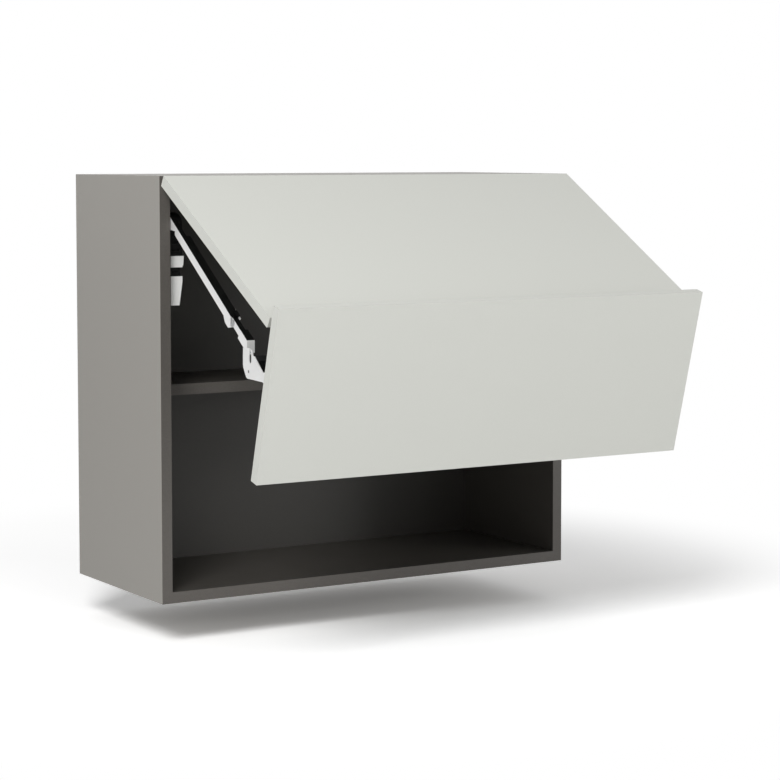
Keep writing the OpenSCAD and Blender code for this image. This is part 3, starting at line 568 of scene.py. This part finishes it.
def bracket_black():
    """Black inner cheek and the web between the cheeks."""
    start = face + FOOT_T + GAP
    outline = [(start, BLACK_TOP), (start, CHEEK_BOTTOM), *CHEEK_LOW, *BLACK_HIGH]
    return [slab(CHEEK_U + BRACKET_W - CHEEK_T, CHEEK_T, [cheek_pt(*p) for p in outline]),
            slab(CHEEK_U + CHEEK_T, BRACKET_W - 2 * CHEEK_T, [cheek_pt(*p) for p in WEB])]


# ---------------------------------------------------------------- covers, and all pieces

COVER_NEAR = 0.02      # the cover's front plates lie this near to the side panel, in metres
CUT_DIST = 1e-6


def cover_piece(label):
    """The white cover without its part above the upper front plate."""
    node = "lift_cover_" + label
    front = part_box(node)[0].y + FACE
    beside = half_in / MM - COVER_NEAR
    top = max(v.co.z for v in nodes[node].data.vertices if v.co.y < front and abs(v.co.x) > beside)
    bm = bmesh.new()
    bm.from_mesh(nodes[node].data)
    cut = bmesh.ops.bisect_plane(bm, geom=bm.verts[:] + bm.edges[:] + bm.faces[:], dist=CUT_DIST,
                                 plane_co=(0, 0, top), plane_no=(0, 0, 1), clear_outer=True)
    edges = [e for e in cut["geom_cut"] if isinstance(e, bmesh.types.BMEdge)]
    bmesh.ops.triangle_fill(bm, edges=edges, use_beauty=True, use_dissolve=False)
    bmesh.ops.recalc_face_normals(bm, faces=bm.faces)
    me = bpy.data.meshes.new("cover_" + label)
    bm.to_mesh(me)
    bm.free()
    add_piece("cover_" + label, me, node, "cover_white")


LIFT_PIECES = {
    "lever_": lever(),
    "outer_arm_": channel(),
    # Black strips on the arms' upper sides are painted dark reflection
    "arm_insert_": painted_reflection_strips(),
    "inner_arm_": inner_bar(),
    "arm_clamp_": clamp(),
    "clamp_screw_": clamp_screw(),
    "arm_pin_": pin_rod(),
    "arm_bracket_": bracket(),
}
for label, sign in SIDES.items():
    for name, solids in LIFT_PIECES.items():
        piece("shown_" + name + label, [sign], solids, name + label)
    cover_piece(label)
piece("shown_bracket_caps", SIDES.values(), bracket_black(), "bracket_caps")
# The adjusting screws are shown dark with the black housing material, as painted shade in the gap of
# each cover
add_piece("shown_force_screws", nodes["force_screws"].data.copy(), "force_screws", "housing_black")


# ---------------------------------------------------------------- floor, light, camera

FLOOR_Z = -0.075       # the cabinet's underside is at 0
FLOOR_HALF = 30.0
FLOOR_GAIN = 1.4       # diffuse colour round the cabinet, which keeps the shadow
FLOOR_GLOW = 0.02
FLOOR_BOUNCE = 0.9     # colour for every ray but the camera's
FADE_NEAR, FADE_FAR = 0.65, 1.3      # over this distance the floor goes to plain white
AMBIENT = 0.42         # strength of the world on the object
LAMPS = {              # place, target, size in metres, power in watts
    "key": ((-2.7, -2.9, 3.0), (0, -0.4, 0.4), 1.8, 138.0),
    "front": ((3.2, -3.4, 0.9), (0, -0.4, 0.2), 1.6, 44.0),
}
CAMERA_AT = (-2.0941, -3.8673, 0.7605)
CAMERA_YAW, CAMERA_PITCH = 31.549, 4.0         # degrees to the right of straight on, and down
SENSOR, LENS = 36.0, 107.78                    # in mm
SHIFT_X, SHIFT_Y = -0.0196, -0.0965
CLIP_START, CLIP_END = 0.1, 100.0


class Tree:
    """The emptied node tree of a material or world, with helpers."""

    def __init__(self, owner):
        owner.use_nodes = True
        self.t = owner.node_tree
        self.t.nodes.clear()

    def add(self, kind, *sources, **values):
        """New node, with sources linked to its first inputs and values set on named ones."""
        n = self.t.nodes.new("ShaderNode" + kind)
        for i, source in enumerate(sources):
            self.t.links.new(source, n.inputs[i])
        for key, v in values.items():
            n.inputs[key.replace("_", " ")].default_value = v
        return n

    def seen_by(self, *rays):
        """1 for the rays that are named, else 0."""
        path = self.add("LightPath")
        fac = path.outputs[rays[0]]
        for ray in rays[1:]:
            either = self.add("Math", fac, path.outputs[ray])
            either.operation = "MAXIMUM"
            fac = either.outputs[0]
        return fac


def floor_material():
    """White floor that keeps the cabinet's shadow and fades to plain white farther out."""
    material = bpy.data.materials.new("floor_white")
    tree = Tree(material)
    lit = tree.add("BsdfDiffuse", Color=grey(FLOOR_GAIN))
    glow = tree.add("Emission", Strength=FLOOR_GLOW)
    white = tree.add("Emission", Strength=1.0)
    bounce = tree.add("BsdfDiffuse", Color=grey(FLOOR_BOUNCE))
    near = tree.add("AddShader", lit.outputs[0], glow.outputs[0])
    away = tree.add("VectorMath", tree.add("TexCoord").outputs["Object"])
    away.operation = "LENGTH"
    fade = tree.add("MapRange", away.outputs["Value"], From_Min=FADE_NEAR, From_Max=FADE_FAR)
    fade.interpolation_type = "SMOOTHSTEP"
    shown = tree.add("MixShader", fade.outputs[0], near.outputs[0], white.outputs[0])
    surface = tree.add("MixShader", tree.seen_by("Is Camera Ray"), bounce.outputs[0], shown.outputs[0])
    tree.add("OutputMaterial", surface.outputs[0])
    return material


def white_world():
    """Soft light on the object, and plain white for what the camera and reflections see."""
    world = bpy.data.worlds.new("world")
    tree = Tree(world)
    ambient = tree.add("Background", Color=grey(1), Strength=AMBIENT)
    white = tree.add("Background", Color=grey(1), Strength=1.0)
    seen = tree.seen_by("Is Camera Ray", "Is Glossy Ray", "Is Transmission Ray")
    light = tree.add("MixShader", seen, ambient.outputs[0], white.outputs[0])
    tree.add("OutputWorld", light.outputs[0])
    return world


def aim(o, at, direction):
    o.location = at
    o.rotation_mode = "QUATERNION"
    o.rotation_quaternion = direction.to_track_quat("-Z", "Y")


corners = [(-FLOOR_HALF, -FLOOR_HALF, 0), (FLOOR_HALF, -FLOOR_HALF, 0), (FLOOR_HALF, FLOOR_HALF, 0),
           (-FLOOR_HALF, FLOOR_HALF, 0)]
floor_mesh = bpy.data.meshes.new("floor")
floor_mesh.from_pydata(corners, [], [(0, 1, 2, 3)])
floor_mesh.materials.append(floor_material())
floor = new_object("floor", floor_mesh)
floor.location = (0, 0, FLOOR_Z)

bpy.context.scene.world = white_world()

for name, (at, target, size, power) in LAMPS.items():
    lamp = bpy.data.lights.new(name, "AREA")
    lamp.shape = "DISK"
    lamp.size = size
    lamp.energy = power
    aim(new_object(name, lamp), at, Vector(target) - Vector(at))

cam_data = bpy.data.cameras.new("camera")
cam_data.sensor_width = SENSOR
cam_data.lens = LENS
cam_data.shift_x = SHIFT_X
cam_data.shift_y = SHIFT_Y
cam_data.clip_start = CLIP_START
cam_data.clip_end = CLIP_END
cam = new_object("camera", cam_data)
yaw, pitch = math.radians(CAMERA_YAW), math.radians(CAMERA_PITCH)
aim(cam, CAMERA_AT, Vector((math.sin(yaw) * math.cos(pitch), math.cos(yaw) * math.cos(pitch),
                            -math.sin(pitch))))
bpy.context.scene.camera = cam

bpy.context.scene.view_settings.view_transform = "Standard"
